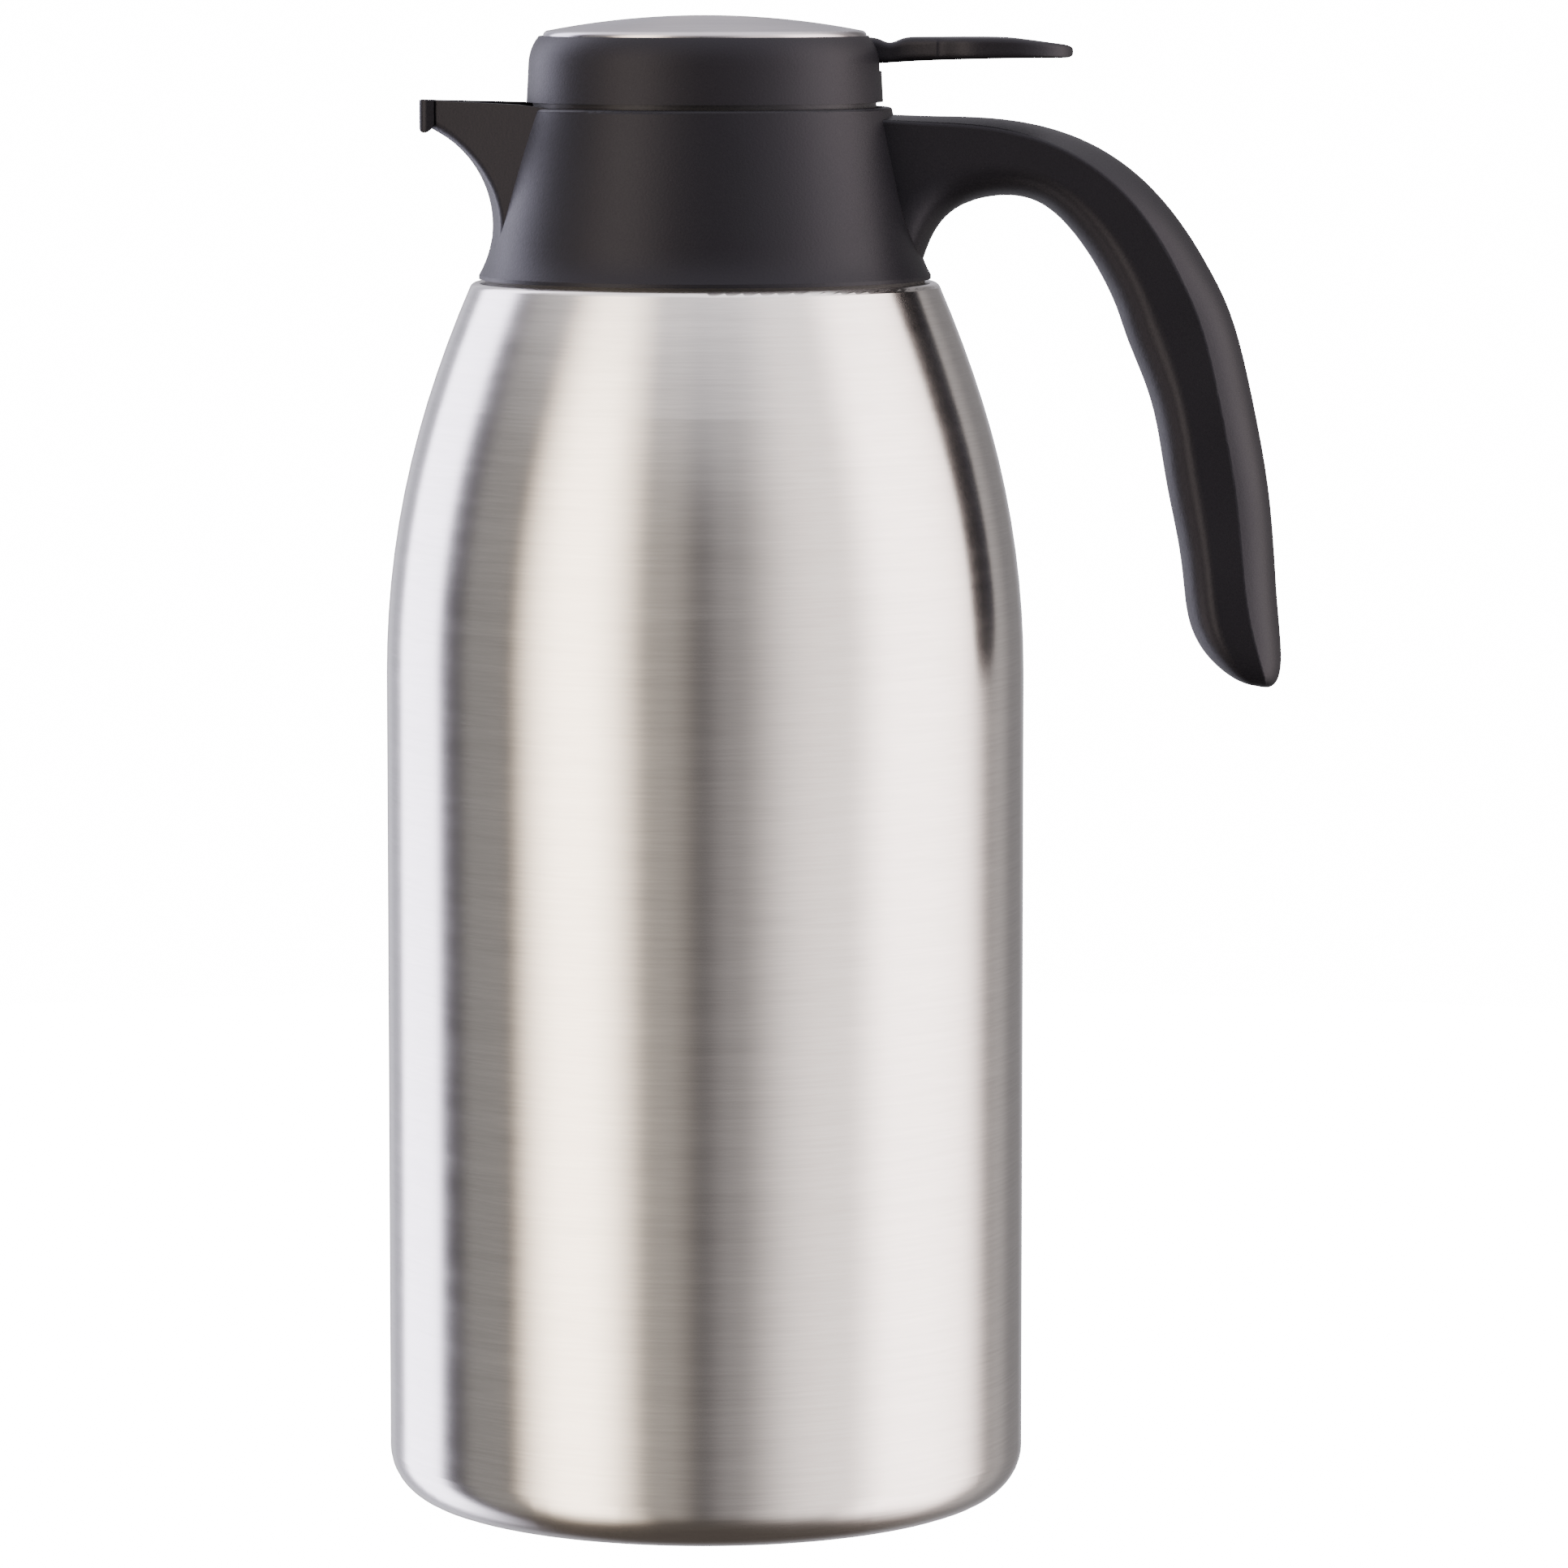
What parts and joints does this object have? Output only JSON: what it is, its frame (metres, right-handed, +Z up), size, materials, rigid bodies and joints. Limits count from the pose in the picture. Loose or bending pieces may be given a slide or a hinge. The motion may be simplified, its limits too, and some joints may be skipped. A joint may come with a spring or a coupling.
{
  "type": "vacuum carafe",
  "caption": "Double-walled steel carafe with an open C-shaped grip, a pouring spout and a screw-in stopper whose thumb lever lifts a pouring valve.",
  "frame": {"origin": "centre of the circle that the body stands on, at the height of its standing face", "axes": "+Z up along the body's axis, the handle towards +X and the spout towards -X"},
  "size_m": [0.1741, 0.124, 0.2889],
  "materials": {
    "body_steel": "satin, brushed round the body",
    "disc_steel": "satin, spun",
    "inner_steel": "drawn, bright",
    "small_steel": "polished",
    "braze": "dull",
    "getter_pellet": "matt",
    "black_plastic": "fine moulded grain",
    "stopper_plastic": "smooth satin",
    "silicone": "matt"
  },
  "bodies": {
    "carafe": {"outer_shell": "body_steel", "vacuum_floor": "inner_steel", "vacuum_seal": "braze", "getter": "getter_pellet", "base_cover": "body_steel", "inner_neck": "inner_steel", "inner_shoulder": "inner_steel", "inner_band": "inner_steel", "inner_tube": "inner_steel", "inner_bottom": "inner_steel", "shoulder_gasket": "silicone", "rim_gasket": "silicone", "collar": "black_plastic", "handle": "black_plastic", "neck_ring": "stopper_plastic"},
    "seals": {"stopper_seal": "silicone", "upper_gasket": "silicone"},
    "stopper": {"stopper_body": "stopper_plastic", "seat_plate": "stopper_plastic", "lid_ring": "black_plastic", "lid_carrier": "stopper_plastic", "top_disc": "disc_steel", "lid_screws": "small_steel", "lever_pin": "small_steel", "stem_wiper": "silicone", "valve_spring": "small_steel"},
    "lever": {"lever": "black_plastic"},
    "valve": {"valve_stem": "small_steel", "valve_plug": "stopper_plastic", "valve_seal": "silicone", "stem_head": "stopper_plastic"}
  },
  "joints": [
    {"name": "stopper_rise", "type": "slide", "parent": "carafe", "child": "seals", "axis": [0, 0, 1], "range_m": [0, 0.006]},
    {"name": "lid_turn", "type": "hinge", "parent": "seals", "child": "stopper", "pos_m": [0, 0, 0.272], "axis": [0, 0, 1], "range_deg": [0, 240]},
    {"name": "lever_press", "type": "hinge", "parent": "stopper", "child": "lever", "pos_m": [0.0285, 0, 0.27911], "axis": [0, 1, 0], "range_deg": [0, 8.5], "stiffness_Nm_per_rad": 0.73, "springref_deg": -8.02},
    {"name": "valve_lift", "type": "slide", "parent": "stopper", "child": "valve", "axis": [0, 0, 1], "range_m": [0, 0.00423], "deforming": ["valve_spring"]}
  ],
  "couplings": [
    {"joint": "stopper_rise", "follows": "lid_turn", "m_per_rad": 0.0014323},
    {"joint": "valve_lift", "follows": "lever_press", "m_per_rad": 0.0285}
  ]
}
